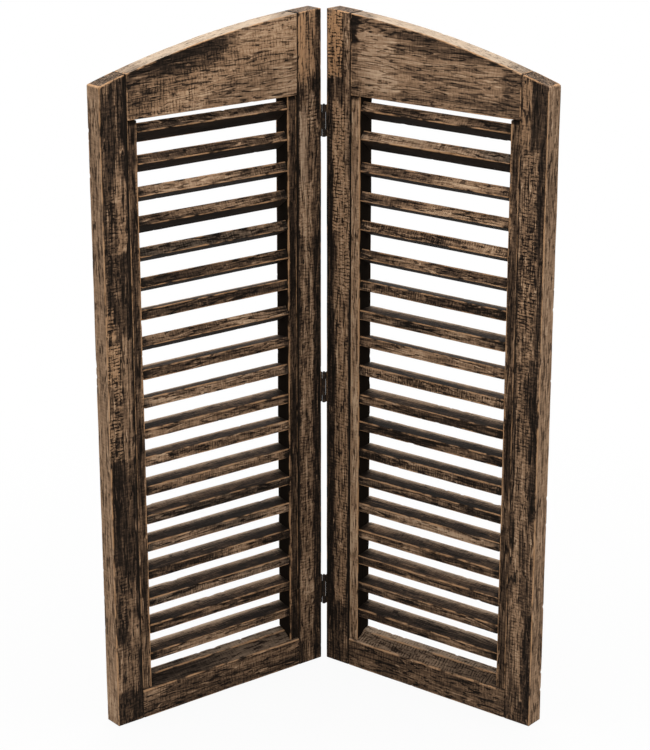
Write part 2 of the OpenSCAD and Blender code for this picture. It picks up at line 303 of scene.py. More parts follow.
class Board:
    """Points of a worn board in its own coordinates: l along the grain, a and b across it. The section's
    ring is carried from the end surface low(a, b) to the end surface high(a, b), and rings that shrink to
    a middle point close both ends."""

    def __init__(self, span, corners_at, flats, low, high, sizes, seed, wear=1.0):
        along, inset = stations(span, sizes.step, sizes.end_ease)
        corners = corners_at(along)
        cut = self.arrises(along, corners.shape[1], sizes, seed, wear)
        ring, gap, face = eased_ring(shrunk(corners, inset), cut, flats)
        ring = ring + self.relief(along, ring, inset, sizes, seed)
        share = np.broadcast_to((along / span)[:, None], gap.shape)
        middle = ring[[0, -1]].mean(1, keepdims=True)
        shares = np.array(CAP_SHARES)[:, None, None]
        start = middle[0] + (ring[0] - middle[0]) * shares[::-1]
        end = middle[1] + (ring[-1] - middle[1]) * shares
        narrow = np.ptp(ring[0], axis=0).min() / 2
        closing = np.broadcast_to(narrow * (1 - shares[..., 0]), start.shape[:2])
        ring = np.concatenate([start, ring, end])
        share = np.concatenate([np.zeros(closing.shape), share, np.ones(closing.shape)])
        self.gap = np.concatenate([closing[::-1], gap, closing])
        caps = np.full(closing.shape, LOW_CAP), np.full(closing.shape, HIGH_CAP)
        self.face = np.concatenate([caps[0], np.broadcast_to(face, gap.shape), caps[1]])
        self.a, self.b = ring[..., 0], ring[..., 1]
        self.l = low(self.a, self.b) * (1 - share) + high(self.a, self.b) * share
        ends = middle[:, 0]
        pole_l = np.array([low(*ends[0]), high(*ends[1])], float)
        self.poles = np.column_stack([pole_l, ends])
        self.seed = seed

    @staticmethod
    def arrises(along, count, sizes, seed, wear):
        """Rounding of each long edge: the usual arris, slowly varied, and sudden chips in groups where a fine
        noise passes a threshold."""
        places, edges = along[:, None], np.arange(count) * EDGE_LANES + FIRST_LANE
        slow = 1 + ROUNDING_SPREAD * rough(places / ROUNDING_LENGTH, edges, seed)
        noise = drift(places / CHIP_LENGTH, edges, seed + CHIPS)
        chips = np.clip(noise - CHIP_FROM, 0, None) / (1 - CHIP_FROM)
        grouped = soft(drift(places / GROUP_LENGTH, edges, seed + CHIP_GROUPS) - GROUP_FROM, GROUP_WIDTH)
        return wear * (sizes.arris * slow + sizes.chip * chips * grouped)

    @staticmethod
    def relief(along, ring, inset, sizes, seed):
        """Unevenness along the section's outward normal: slow waves of hand planing and raised grain, which
        is drawn out along the board. It fades out at the rounded ends."""
        step = np.roll(ring, -1, 1) - np.roll(ring, 1, 1)
        normal = np.stack([step[..., 1], -step[..., 0]], -1)
        normal = normal / np.maximum(np.linalg.norm(normal, axis=-1, keepdims=True), 1e-9)
        girth = np.linalg.norm(np.diff(ring, axis=1, prepend=ring[:, :1]), axis=-1).cumsum(1)
        places = along[:, None]
        height = sizes.wave * rough(places / WAVE_CELL[0], girth / WAVE_CELL[1], seed + WAVES)
        height += sizes.ridge * drift(places / RIDGE_CELL[0], girth / RIDGE_CELL[1], seed + RIDGES)
        return normal * (height * (inset == 0)[:, None] - sizes.wave)[..., None]

    def grain(self):
        """Coordinates along and across the grain, moved to a place in the wood that no other board shares."""
        shift = np.random.default_rng(self.seed + PLACE).uniform(-4, 4, 3)
        own = np.stack([self.l, self.a, self.b], -1).reshape(-1, 3)
        return np.concatenate([own, self.poles]) + shift


def laid(along, across, patches, base, rub, seed):
    """Patina of a face: a base with blotches that are rubbed barer by the amount rub, and patches laid over
    it one by one. A patch is the product of four soft steps, at its two ends and its two edges, whose lines
    are drawn wavy by smooth noise."""
    wavy_l = along + END_WANDER * rough(across / END_CELL[1], along / END_CELL[0], seed + WAVY_ENDS)
    wavy_a = across + EDGE_WANDER * rough(along / EDGE_CELL[0], across / EDGE_CELL[1], seed + WAVY_EDGES)
    blotches = rough(along / RUB_CELL[0], across / RUB_CELL[1], seed + RUBBING)
    patina = np.empty(along.shape + (3,))
    patina[...] = base
    patina[..., 0] += rub * soft(blotches - RUB_FROM, RUB_WIDTH)
    for patch in patches:
        low, high, near, far, *tone = np.array(patch) / PATCH_UNITS
        inside = soft(wavy_l - low, END_FADE) * soft(high - wavy_l, END_FADE)
        inside = inside * soft(wavy_a - near, EDGE_FADE) * soft(far - wavy_a, EDGE_FADE)
        patina += inside[..., None] * (np.array(tone) - patina)
    return patina


def add_piece(name, board, placed, patina, ends, planed, material):
    """Makes the closed mesh of a board where placed(l, a, b) takes its own coordinates: quads between
    neighbouring rings, and a fan of triangles to the middle point of each end, which has a tone of its own.
    The faces are turned outwards if their volume is negative."""
    points, poles = placed(board.l, board.a, board.b), placed(*board.poles.T)
    count, around = points.shape[:2]
    vertices = np.concatenate([points.reshape(-1, 3), poles])
    ring, spot = np.meshgrid(np.arange(count - 1), np.arange(around), indexing="ij")
    here, after = ring * around + spot, ring * around + (spot + 1) % around
    quads = np.stack([here, after, after + around, here + around], -1).reshape(-1, 4)
    first, last = np.arange(around), (count - 1) * around + np.arange(around)
    low = np.stack([np.full(around, count * around), np.roll(first, -1), first], -1)
    high = np.stack([np.full(around, count * around + 1), last, np.roll(last, -1)], -1)
    fans = np.concatenate([low, high])
    halves = np.concatenate([quads[:, [0, 1, 2]], quads[:, [0, 2, 3]], fans])
    p, q, r = (vertices[halves[:, k]] for k in range(3))
    if np.einsum("ij,ij->", p, np.cross(q, r)) < 0:
        quads, fans = quads[:, ::-1], fans[:, ::-1]
    mesh = bpy.data.meshes.new(name)
    mesh.vertices.add(len(vertices))
    mesh.vertices.foreach_set("co", vertices.astype(np.float32).ravel())
    corners = np.concatenate([quads.ravel(), fans.ravel()])
    starts = np.concatenate([np.arange(len(quads)) * 4, quads.size + np.arange(len(fans)) * 3])
    mesh.loops.add(len(corners))
    mesh.loops.foreach_set("vertex_index", corners.astype(np.int32))
    mesh.polygons.add(len(starts))
    mesh.polygons.foreach_set("loop_start", starts.astype(np.int32))
    mesh.update(calc_edges=True)
    mesh.validate()
    mesh.shade_smooth()
    give(mesh, "grain", "FLOAT_VECTOR", "vector", board.grain())
    give(mesh, "patina", "FLOAT_VECTOR", "vector", np.concatenate([patina.reshape(-1, 3), ends]))
    give(mesh, "arris", "FLOAT", "value", np.append(board.gap.ravel(), [board.gap.max()] * 2))
    give(mesh, "planed", "FLOAT", "value", np.append(planed.ravel(), [0, 0]))
    mesh.materials.append(material)
    piece = bpy.data.objects.new(name, mesh)
    bpy.context.scene.collection.objects.link(piece)
    return piece


def give(mesh, name, kind, field, values):
    """Stores one value for each vertex as a named attribute."""
    attribute = mesh.attributes.new(name, kind, "POINT")
    attribute.data.foreach_set(field, np.asarray(values, np.float32).ravel())


def stand_for(piece, body, slot, *nodes):
    """A piece takes the place of CAD nodes and moves with their body."""
    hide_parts(*nodes)
    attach(piece, body)


# Shader sums


class Signal:
    """A value on its way through a material. Sums and products of signals add Math nodes."""

    def __init__(self, tree, socket=None):
        self.tree, self.socket = tree, socket

    def node(self, kind, settings=None, sockets=None, out=0):
        """Adds a node, applies its settings, then its sockets' values or links, and returns one output."""
        made = self.tree.nodes.new(kind)
        for name, value in (settings or {}).items():
            if name == "stops":
                self.stops(made.color_ramp, value)
            else:
                setattr(made, name, value)
        for name, value in (sockets or {}).items():
            if isinstance(value, Signal):
                self.tree.links.new(value.socket, made.inputs[name])
            else:
                made.inputs[name].default_value = value
        return Signal(self.tree, made.outputs[out] if made.outputs else None)

    @staticmethod
    def stops(ramp, stops):
        """Sets a ramp's stops, each a place and a colour."""
        while len(ramp.elements) < len(stops):
            ramp.elements.new(1)
        for element, (place, tone) in zip(ramp.elements, stops):
            element.position, element.color = place, tone

    def math(self, operation, *values):
        return self.node("ShaderNodeMath", {"operation": operation}, dict(enumerate(values)))

    def __add__(self, other):
        return self.math("ADD", self, other)

    def __sub__(self, other):
        return self.math("SUBTRACT", self, other)

    def __rsub__(self, other):
        return self.math("SUBTRACT", other, self)

    def __mul__(self, other):
        return self.math("MULTIPLY", self, other)

    __radd__, __rmul__ = __add__, __mul__

    def step(self, low, high):
        """0 below low, 1 above high, smooth between them."""
        sockets = {"Value": self, "From Min": low, "From Max": high}
        return self.node("ShaderNodeMapRange", {"interpolation_type": "SMOOTHSTEP"}, sockets)

    def mixed(self, share, other):
        """This colour, turned into another by a share. A Mix node's colours are sockets 6 and 7, output 2."""
        sockets = {0: share, 6: self, 7: other}
        return self.node("ShaderNodeMix", {"data_type": "RGBA", "clamp_factor": True}, sockets, 2)

    def noise(self, stretch, detail=2.0, roughness=0.5):
        """Noise on a vector whose three directions are scaled by stretch, in features a metre."""
        scaled = self.node("ShaderNodeVectorMath", {"operation": "MULTIPLY"}, {0: self, 1: stretch})
        sockets = {"Vector": scaled, "Scale": 1.0, "Detail": detail, "Roughness": roughness}
        return self.node("ShaderNodeTexNoise", {}, sockets, "Fac")

    def attribute(self, name, out):
        return self.node("ShaderNodeAttribute", {"attribute_name": name}, {}, out)

    def parts(self):
        """The three parts of a vector."""
        split = self.node("ShaderNodeSeparateXYZ", {}, {0: self})
        return [Signal(self.tree, output) for output in split.socket.node.outputs]


def new_material(name):
    """An empty material and the start of its sums."""
    material = bpy.data.materials.new(name)
    material.use_nodes = True
    material.node_tree.nodes.clear()
    return material, Signal(material.node_tree)


def finish_material(start, base, roughness, height, depth, constants):
    """Joins a base colour, a roughness and a bump height to the surface shader."""
    bumped = {"Height": height, "Strength": 1.0, "Distance": depth}
    normal = start.node("ShaderNodeBump", {}, bumped, "Normal")
    sockets = {"Base Color": base, "Roughness": roughness, "Normal": normal, **constants}
    surface = start.node("ShaderNodeBsdfPrincipled", {}, sockets, "BSDF")
    start.node("ShaderNodeOutputMaterial", {}, {"Surface": surface})


def rgba(tone):
    return (*tone, 1.0)


# Wear at which the wood shows pitch, dark stain, brown stain, bare wood and pale wood
WEAR_STOPS = (0.0, 0.2, 0.4, 0.64, 0.95)
# Contours of the grain's figure between the lowest and the highest value of its noise
GRAIN_LINES = 9
# Noises of the wood: features a metre along and across the grain, and octaves and strength if not as usual
WOOD_NOISES = {
    "cloud": (9, 30),
    "blotch": (16, 90, 3.0, 0.6),
    "streak": (3, 150, 1.0, 0.5),
    "threads": (9, 330, 2.0, 0.6),
    "flecks": (45, 400, 2.0, 0.6),
    "nicks": (380, 110),
    "figure": (5, 60),
    "sway": (9, 24),
    "shake": (70, 60),
    "line breaks": (14, 200),
    "scratch breaks": (30, 240),
    "cut breaks": (60, 190),
    "edge breaks": (45, 60),
    "pits": (70, 380, 1.0, 0.5),
}
# Values of a wave, a noise, a distance or the wear between which a mark comes in
MARKS = {
    "lines": (0.5, 0.98),
    "scratches": (0.85, 0.99),
    "cuts": (0.3, 0.95),
    "line breaks": (0.4, 0.56),
    "scratch breaks": (0.48, 0.6),
    "cut breaks": (0.44, 0.58),
    "edge breaks": (0.36, 0.56),
    "pits": (0.6, 0.65),
    "edge": (0.0007, 0.0017),
    "veil": (0.1, 1.0),
    "rubbed": (0.3, 0.7),
}
# Strengths of the parts of the wear, and of the parts of the furrows
CLOUDS, BLOTCHES, STREAKS, EDGES, SCRATCHES = 0.4, 0.15, 0.22, 0.4, 0.3
LINES, CUTS, PITS = 0.3, 0.55, 0.35
# Share of the marks that planing takes off, and of the nicks that show without saw marks
PLANED_OFF, PLAIN_NICKS = 0.75, 0.3
# Sway and shake of the saw cuts in radians, and the width by which fibre makes a worn edge ragged
SWAY, SHAKE, RAGGED = 12, 9, 0.004
# Share of warm wood on a worn edge, and how far furrows hold the grey veil back
EDGE_WARMTH, VEIL_FURROWS = 0.75, 1.5
# What fibre and rubbing add to the roughness, what blotches and furrows add to the bump, and its depth
FIBRE_ROUGHNESS, RUBBED_ROUGHNESS = 0.2, 0.2
BLOTCH_HEIGHT, FURROW_HEIGHT, WOOD_BUMP = 0.5, 1.2, 0.0015


def stained_wood(name, colours, pitch=0.005, long=0.4, short=0.7, hatch=0.6, gloss=0.7, shine=0.02):
    """Dark stained wood, rubbed bare in places. Its wear is the patina plus clouds, blotches, streaks, fibre,
    worn edges and scratches, less the furrows. Fibre is long threads, short flecks and crosswise nicks.
    Furrows are grain lines, which are contours of a long noise, saw cuts a pitch apart, and pits. Scratches
    lie between the grain lines. The wear picks the tone from pitch to pale wood. Positive weathering greys
    it, negative weathering warms bare wood, and worn edges show warm wood."""
    material, start = new_material(name)
    grain = start.attribute("grain", "Vector")
    bare, sawn, weathered = start.attribute("patina", "Vector").parts()
    edge_gap = start.attribute("arris", "Fac")
    coarse = 1 - PLANED_OFF * start.attribute("planed", "Fac")

    def noise(kind):
        along, across, *finer = WOOD_NOISES[kind]
        return grain.noise((along, across, across), *finer)

    def spots(kind):
        return noise(kind).step(*MARKS[kind])

    cloud, blotch, streak = noise("cloud") - 0.5, noise("blotch") - 0.5, noise("streak") - 0.5
    threads, flecks = noise("threads") - 0.5, noise("flecks") - 0.5
    nicks = (noise("nicks") - 0.5) * (PLAIN_NICKS + sawn)
    fibre = long * threads + short * flecks + hatch * nicks
    uneven = CLOUDS * cloud + coarse * (BLOTCHES * blotch + STREAKS * streak + fibre)

    figure = noise("figure") * (GRAIN_LINES * FULL_TURN)
    lines = figure.math("SINE", figure).step(*MARKS["lines"]) * spots("line breaks")
    scratches = figure.math("COSINE", figure).step(*MARKS["scratches"]) * spots("scratch breaks")
    waver = SWAY * noise("sway") + SHAKE * noise("shake")
    phase = grain.parts()[0] * (FULL_TURN / pitch) + waver
    cuts = phase.math("SINE", phase).step(*MARKS["cuts"]) * spots("cut breaks") * sawn
    furrows = coarse * (LINES * lines + CUTS * cuts + PITS * spots("pits"))
    edge = 1 - (edge_gap + RAGGED * (fibre + blotch)).step(*MARKS["edge"])
    edge = edge * spots("edge breaks")

    wear = bare + uneven + EDGES * edge + SCRATCHES * coarse * scratches - furrows
    tones = (colours.pitch, colours.stain, colours.brown, colours.tan, colours.pale)
    stops = [(place, rgba(tone)) for place, tone in zip(WEAR_STOPS, tones)]
    tone = start.node("ShaderNodeValToRGB", {"stops": stops}, {"Fac": wear}, "Color")
    veil = (weathered + uneven - VEIL_FURROWS * furrows).step(*MARKS["veil"]) * weathered
    rubbed = wear.step(*MARKS["rubbed"])
    warmth = (-1 * weathered).step(0.0, 1.0) * rubbed
    tone = tone.mixed(veil, rgba(colours.grey)).mixed(warmth, rgba(colours.worn))
    tone = tone.mixed(EDGE_WARMTH * edge, rgba(colours.worn))

    roughness = gloss + FIBRE_ROUGHNESS * fibre + RUBBED_ROUGHNESS * rubbed
    height = coarse * fibre + BLOTCH_HEIGHT * blotch - FURROW_HEIGHT * furrows
    finish_material(start, tone, roughness, height, WOOD_BUMP, {"Specular IOR Level": shine})
    return material


# Iron: features a metre, the patches' noise where it is black and where brown, roughness, and depth of grit
IRON_PATCHES, IRON_GRIT, IRON_STOPS = 180, 1500, (0.5, 0.8)
IRON_ROUGHNESS, PATCH_ROUGHNESS, IRON_BUMP = 0.6, 0.25, 0.0002


def blackened_iron(name, colours):
    """Blackened iron with rubbed, browner spots and a fine grit."""
    material, start = new_material(name)
    place = start.node("ShaderNodeTexCoord", {}, {}, "Object")
    patch = place.noise((IRON_PATCHES,) * 3, 3.0)
    grit = place.noise((IRON_GRIT,) * 3)
    stops = list(zip(IRON_STOPS, (rgba(colours.iron), rgba(colours.brown))))
    tone = start.node("ShaderNodeValToRGB", {"stops": stops}, {"Fac": patch}, "Color")
    roughness = IRON_ROUGHNESS + PATCH_ROUGHNESS * patch
    finish_material(start, tone, roughness, grit, IRON_BUMP, {"Metallic": 0.1, "Specular IOR Level": 0.1})
    return material


def wood_for(context, name, **looks):
    """A wood material by name, made once."""
    return bpy.data.materials.get(name) or stained_wood(name, context.scene.shutter_colours, **looks)


# The boards


def arch_height(leaf, sizes):
    """Height of the arch at s. It is one arc from the hinge line to the outer edge: its chord c and its bow b
    give the radius c^2 / 8b + b / 2, and its centre lies below the chord's middle, square to the chord. The
    highest point of the inner stile sets its level."""
    drop, bow = sizes.arch_drop, sizes.arch_bow
    outer = leaf.box("outer_stile")[1][0]
    inner, peak = leaf.box("inner_stile")[0][0], leaf.box("inner_stile")[1][2]
    chord = math.hypot(outer, drop)
    radius = chord * chord / (8 * bow) + bow / 2
    centre = outer / 2 - (radius - bow) * drop / chord
    base = peak - math.sqrt(radius * radius - (inner - centre) ** 2)
    return lambda s: base + np.sqrt(radius * radius - (s - centre) ** 2)


def rectangle(a0, b0, a1, b1):
    return [(a0, b0), (a1, b0), (a1, b1), (a0, b1)]


def still(corners):
    """The same section at every station."""
    return lambda along: np.broadcast_to(np.array(corners, float), (len(along), len(corners), 2))


def level(height):
    return lambda a, b: np.full(np.shape(a), height)


# Patches on the front faces: from and to along the grain and from and to across it, in millimetres, then how
# far the wood is bare, how plain the saw marks are and how weathered it is, in hundredths
PATCH_UNITS = np.array([1000] * 4 + [100] * 3)
STILE_PATCHES = {
    "left_outer_stile": [
        (0, 1000, 330, 337, 10, 0, 10),
        (830, 905, 340, 349, 50, 35, 0),
        (700, 805, 336, 352, 62, 30, -20),
        (690, 790, 352, 368, 40, 70, 0),
        (640, 700, 350, 372, 35, 50, 0),
        (585, 628, 360, 376, 50, 100, -50),
        (515, 578, 354, 376, 58, 100, -50),
        (469, 522, 345, 366, 55, 100, -30),
        (403, 472, 352, 376, 40, 100, -30),
        (405, 580, 334, 351, 58, 15, 10),
        (245, 400, 351, 376, 18, 20, 0),
        (245, 400, 336, 351, 32, 20, 0),
        (150, 230, 354, 366, 40, 60, 0),
        (120, 162, 334, 350, 55, 10, 0),
        (52, 128, 336, 376, 50, 25, 0),
        (0, 50, 330, 376, 20, 20, 0),
    ],
    "left_inner_stile": [
        (0, 900, 0, 16, 18, 20, 0),
        (900, 998, 12, 44, 60, 20, -50),
        (915, 998, 32, 42, 72, 0, -70),
        (860, 886, 10, 28, 50, 40, 30),
        (828, 861, 8, 28, 60, 100, 10),
        (745, 866, 26, 42, 56, 10, 40),
        (670, 755, 16, 42, 70, 40, 20),
        (60, 670, 17, 41, 55, 40, 20),
        (670, 825, 6, 18, 42, 20, 0),
        (105, 180, 20, 42, 66, 40, 10),
    ],
    "right_inner_stile": [
        (0, 905, 0, 15, 15, 30, 0),
        (905, 996, 2, 30, 66, 100, -90),
        (680, 868, 13, 34, 62, 100, -40),
        (100, 680, 18, 42, 54, 45, -30),
        (700, 990, 34, 44, 60, 30, 20),
        (585, 760, 24, 46, 68, 80, -30),
        (0, 55, 4, 44, 34, 30, 0),
    ],
    "right_outer_stile": [
        (0, 1000, 364, 376, 22, 25, 0),
        (75, 420, 338, 360, 60, 40, 10),
        (420, 840, 336, 362, 50, 60, -20),
        (600, 720, 336, 362, 48, 100, -30),
        (840, 940, 331, 348, 55, 20, -40),
        (850, 940, 352, 373, 20, 10, 0),
        (475, 550, 354, 376, 22, 30, 0),
        (175, 315, 352, 374, 48, 30, 0),
    ],
}
RAIL_PATCHES = {
    "left": [
        (165, 370, 936, 1000, 26, 20, 0),
        (215, 300, 910, 936, 38, 15, 0),
        (290, 370, 870, 940, 34, 15, 0),
        (20, 150, 950, 1010, 68, 15, 0),
        (20, 80, 870, 950, 64, 15, 0),
        (205, 270, 870, 912, 62, 30, 0),
    ],
    "right": [
        (44, 62, 955, 1000, 5, 10, 0),
        (60, 125, 885, 975, 68, 10, 35),
        (180, 370, 945, 985, 42, 10, 0),
        (255, 370, 870, 925, 44, 10, 0),
        (125, 300, 902, 948, 62, 15, 10),
    ],
}
CHEEK_BARENESS = {
    "left_outer_cheek": 0.3,
    "left_inner_cheek": 0.16,
    "right_outer_cheek": 0.28,
    "right_inner_cheek": 0.65,
}
# Tones of each sill's rear slope and bevel at the inner end, and what they lose towards the outer end
SILL_TONES = {
    "left": ((0.45, 0.3, 0.6), (0.36, 0.2, 0.45)),
    "right": ((0.62, 0.6, 0.75), (0.5, 0.8, 0.5)),
}
SILL_FADE = np.array([0.2, 0.0, 0.2])

# Tones of the other faces and ends. Some come with the bareness of their rubbed blotches
STILE_FRONT, STILE_SIDES = ((0.25, 0.2, 0.0), 0.24), ((0.2, 0.15, 0.1), 0.1)
STILE_EDGE, STILE_TOP = (0.58, 0.1, 0.35), (0.36, 0.0, 0.4)
RAIL_FRONT, SILL_FRONT = ((0.46, 0.15, 0.05), 0.12), ((0.41, 0.3, 0.05), 0.08)
UNDERSIDE, RAIL_END, HIDDEN = (0.1, 0.0, 0.0), (0.2, 0.0, 0.0), (0.0, 0.0, 0.0)
CHEEK_INSIDE, CHEEK_SAWN, CHEEK_RUB = (-0.2, 0.0, 0.0), 0.2, 0.15
SLAT_FRONT, SLAT_RUB, SLAT_UPPER = np.array([0.33, 0.0, 0.2]), 0.25, ((0.12, 0.3, 0.1), 0.08)
# How the slats' fronts and upper faces differ, and the least that a front is sawn
SLAT_SPREAD, SLAT_UPPER_SPREAD, SLAT_SAWN = np.array([0.12, 0.8, 0.25]), 0.06, 0.15
# Painted sheen and shade: what a slat's upper face gains towards its back, by a power of the distance. The
# back is painted light and grey as a reflection, and the front is left dark as shade
PAINTED_SHEEN, PAINTED_SHEEN_POWER = np.array([0.6, 0.0, 0.85]), 2.5
# Soil on the slats: its strength and size. Then painted shade at the slats' ends, where they meet the cheeks:
# its strength, reach and fade
SOIL, SOIL_CELL = 0.16, (0.05, 0.02)
PAINTED_END_SHADE, END_REACH, PAINTED_END_SHADE_FADE = 0.25, 0.007, 0.008

# How far the faces are planed
STILE_SIDES_PLANED, RAIL_PLANED, UPPER_PLANED = 0.4, 0.2, 0.65
CHEEK_PLANED, CHEEK_INSIDE_PLANED = 0.2, 0.8
# Shares of the usual wear on long edges. An inner stile's are sharper on the hinge side
HINGE_EDGE_WEAR, CHEEK_WEAR, SLAT_WEAR = np.array([0.5, 1.0, 1.0, 0.5]), 0.8, 0.9
# The line of a stile's joint: half its width, its fade, its darkness, and how far off wear it keeps
JOINT_HALF, JOINT_FADE, JOINT_DARK, JOINT_KEEP = 0.0018, 0.002, 0.3, 0.01
# The top of the arch: its tone at the ends, what it gains in the middle, and over what length
ARCH_END, ARCH_GAIN, ARCH_FADE = np.array([0.4, 0.0, 0.64]), np.array([0.06, 0.0, 0.22]), 0.03
# The bare band that climbs across the left top rail: a point on it, its rise, half its width, and its tone
BAND_POINT, BAND_RISE, BAND_HALF, BAND_TONE = (0.3, 0.9), 0.28, 0.03, (0.14, 0.3, -0.3)
# The warm strip along a cheek's edge: its width, the length over which it varies, and its tone
STRIP, STRIP_LENGTH, STRIP_TONE = 0.003, 0.06, (0.2, 0.1, -0.5)
# The shade at the top of a cheek, and how far down it reaches
HEAD_DARK, HEAD_REACH = 0.5, 0.004


class SHUTTERS_OT_stiles(bpy.types.Operator):
    """Makes the four stiles as worn boards with arched tops"""

    bl_idname = "shutters.stiles"
    bl_label = "Stiles"

    def execute(self, context):
        sizes = context.scene.shutter_sizes
        wood = wood_for(context, "worn_stile_wood", long=0.7, short=0.55, hatch=0.9)
        for leaf in map(Leaf, SIDES):
            arch = arch_height(leaf, sizes)
            for number, kind in enumerate(("inner_stile", "outer_stile")):
                self.stile(leaf, kind, arch, sizes, wood, leaf.seed("stile", number))
        return {"FINISHED"}

    @staticmethod
    def stile(leaf, kind, arch, sizes, wood, seed):
        """A rectangle carried upwards, whose top follows the arch. Old stain lies along its joint."""
        node, inner = f"{leaf.side}_{kind}", kind == "inner_stile"
        (s0, t0, _), (s1, t1, top) = leaf.box(kind)
        section = still(rectangle(s0, t0, s1, t1))
        wear = HINGE_EDGE_WEAR if inner else 1.0
        board = Board(top, section, STILE_FLATS, level(0.0), lambda a, b: arch(a), sizes, seed, wear)
        front = laid(board.l, board.a, STILE_PATCHES[node], *STILE_FRONT, seed)
        sides = laid(board.l, board.b, [], *STILE_SIDES, seed + OTHER_FACES)
        patina = np.where((board.face == FRONT)[..., None], front, sides)
        if not inner:
            patina[board.face == OUTSIDE] = STILE_EDGE
        joint = soft(JOINT_HALF - np.abs(board.a - (s1 if inner else s0)), JOINT_FADE)
        patina[..., 0] -= JOINT_DARK * joint
        patina[board.face == HIGH_CAP] = STILE_TOP
        from_top = np.where(board.face >= FRONT, arch(board.a) - board.l, board.gap)
        board.gap = np.minimum(board.gap, from_top) + JOINT_KEEP * joint
        planed = np.where(board.face == FRONT, 0.0, STILE_SIDES_PLANED)
        piece = add_piece(f"{node}_board", board, leaf.upright, patina, (UNDERSIDE, STILE_TOP), planed, wood)
        stand_for(piece, leaf.body, "stile_wood", node)


class SHUTTERS_OT_rails(bpy.types.Operator):
    """Makes the arched top rails and the sills between the stiles"""

    bl_idname = "shutters.rails"
    bl_label = "Rails"

    def execute(self, context):
        sizes = context.scene.shutter_sizes
        for leaf in map(Leaf, SIDES):
            self.top_rail(context, leaf, sizes, leaf.seed("top_rail"))
            self.sill(context, leaf, sizes, leaf.seed("sill"))
        return {"FINISHED"}

    @staticmethod
    def shoulders(leaf):
        """Where the rails meet the stiles."""
        return leaf.box("inner_stile")[1][0], leaf.box("outer_stile")[0][0]

    def top_rail(self, context, leaf, sizes, seed):
        """A rectangle carried along the leaf, whose upper side follows the arch."""
        s0, s1 = self.shoulders(leaf)
        (_, t0, low), (_, t1, _) = leaf.box("top_rail")
        arch = arch_height(leaf, sizes)

        def section(along):
            top, flat = arch(s0 + along), np.ones(len(along))
            rows = [(t0 * flat, low * flat), (t1 * flat, low * flat), (t1 * flat, top), (t0 * flat, top)]
            return np.array(rows).transpose(2, 0, 1)

        board = Board(s1 - s0, section, RAIL_FLATS, level(s0), level(s1), sizes, seed)
        patina = laid(board.l, board.b, RAIL_PATCHES[leaf.side], *RAIL_FRONT, seed)
        if leaf.side == "left":
            climb = BAND_POINT[1] + BAND_RISE * (BAND_POINT[0] - board.l)
            patina += soft(BAND_HALF - np.abs(board.b - climb), BAND_HALF)[..., None] * BAND_TONE
        middle = soft(board.l - s0 - ARCH_FADE, ARCH_FADE) * soft(s1 - ARCH_FADE - board.l, ARCH_FADE)
        patina = np.where((board.face == UPPER)[..., None], ARCH_END + middle[..., None] * ARCH_GAIN, patina)
        patina[board.face == UNDER] = UNDERSIDE
        board.gap = np.minimum(board.gap, np.minimum(board.l - s0, s1 - board.l))
        planed = np.where(board.face == UPPER, UPPER_PLANED, RAIL_PLANED)
        wood = wood_for(context, "worn_rail_wood", long=0.5, hatch=0.8)
        self.finish(leaf, "top_rail", board, patina, planed, wood)

    def sill(self, context, leaf, sizes, seed):
        """The bottom rail: underside, back, rear slope, front bevel and front carried along the leaf."""
        s0, s1 = self.shoulders(leaf)
        (_, t0, low), (_, t1, high) = leaf.box("bottom_rail")
        crest = (t0 + sizes.sill_bevel, sizes.sill_break)
        profile = still([(t0, low), (t1, low), (t1, high), crest, (t0, sizes.sill_front)])
        board = Board(s1 - s0, profile, SILL_FLATS, level(s0), level(s1), sizes, seed)
        patina = laid(board.l, board.b, [], *SILL_FRONT, seed)
        outward = ((board.l - s0) / (s1 - s0))[..., None]
        for face, tone in zip((UPPER, BEVEL), SILL_TONES[leaf.side]):
            patina = np.where((board.face == face)[..., None], np.array(tone) - outward * SILL_FADE, patina)
        planed = np.where((board.face == UPPER) | (board.face == BEVEL), UPPER_PLANED, 0.0)
        wood = wood_for(context, "worn_sill_wood", short=0.5)
        self.finish(leaf, "bottom_rail", board, patina, planed, wood)

    @staticmethod
    def finish(leaf, kind, board, patina, planed, wood):
        """Puts a rail in its place between the stiles."""
        node = f"{leaf.side}_{kind}"
        piece = add_piece(f"{node}_board", board, leaf.world, patina, (RAIL_END, RAIL_END), planed, wood)
        stand_for(piece, leaf.body, "rail_wood", node)


